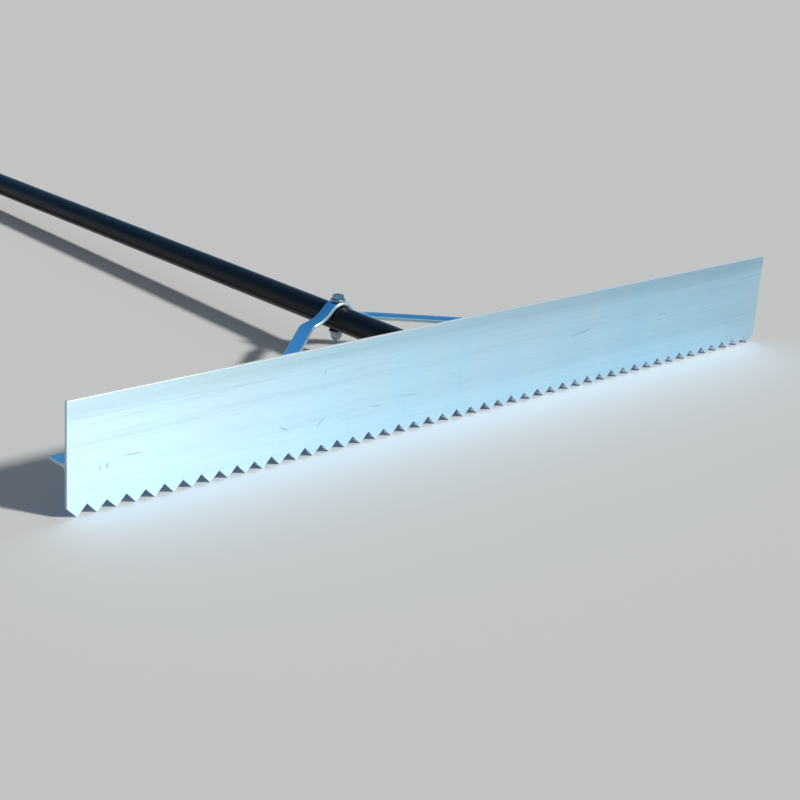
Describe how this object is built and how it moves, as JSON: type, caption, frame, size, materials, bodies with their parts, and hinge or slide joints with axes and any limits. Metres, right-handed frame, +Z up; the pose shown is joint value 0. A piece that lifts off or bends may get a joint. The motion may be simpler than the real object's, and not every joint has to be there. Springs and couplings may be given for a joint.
{
  "type": "scarifier lute rake",
  "caption": "Wide levelling rake with a ribbed aluminium blade, pointed teeth below, a smooth edge above, and a braced tubular handle.",
  "frame": {"origin": "on level ground, under the middle of the whole rake, as it lies on its teeth and the end of its grip", "axes": "+X along the blade, to the right seen from in front of it; +Y from the blade towards the grip; +Z up"},
  "size_m": [0.9144, 1.8412, 0.1016],
  "materials": {
    "blade_aluminium": "mill finish with lengthwise drawing lines and light scratches",
    "brace_aluminium": "mill finish",
    "handle_coat": "smooth dark powder coat",
    "grip_vinyl": "matt grained vinyl",
    "zinc_fasteners": "bright zinc plate"
  },
  "bodies": {
    "root": {"blade": "blade_aluminium", "handle_tube": "handle_coat", "grip": "grip_vinyl", "brace": "brace_aluminium", "handle_bolt": "zinc_fasteners", "handle_bolt_washer": "zinc_fasteners", "handle_nut_washer": "zinc_fasteners", "handle_nut": "zinc_fasteners", "saddle_bolt": "zinc_fasteners", "saddle_bolt_washer": "zinc_fasteners", "saddle_nut_washer": "zinc_fasteners", "saddle_nut": "zinc_fasteners", "left_foot_bolt": "zinc_fasteners", "left_foot_bolt_washer": "zinc_fasteners", "left_foot_nut_washer": "zinc_fasteners", "left_foot_nut": "zinc_fasteners", "right_foot_bolt": "zinc_fasteners", "right_foot_bolt_washer": "zinc_fasteners", "right_foot_nut_washer": "zinc_fasteners", "right_foot_nut": "zinc_fasteners"}
  },
  "joints": []
}
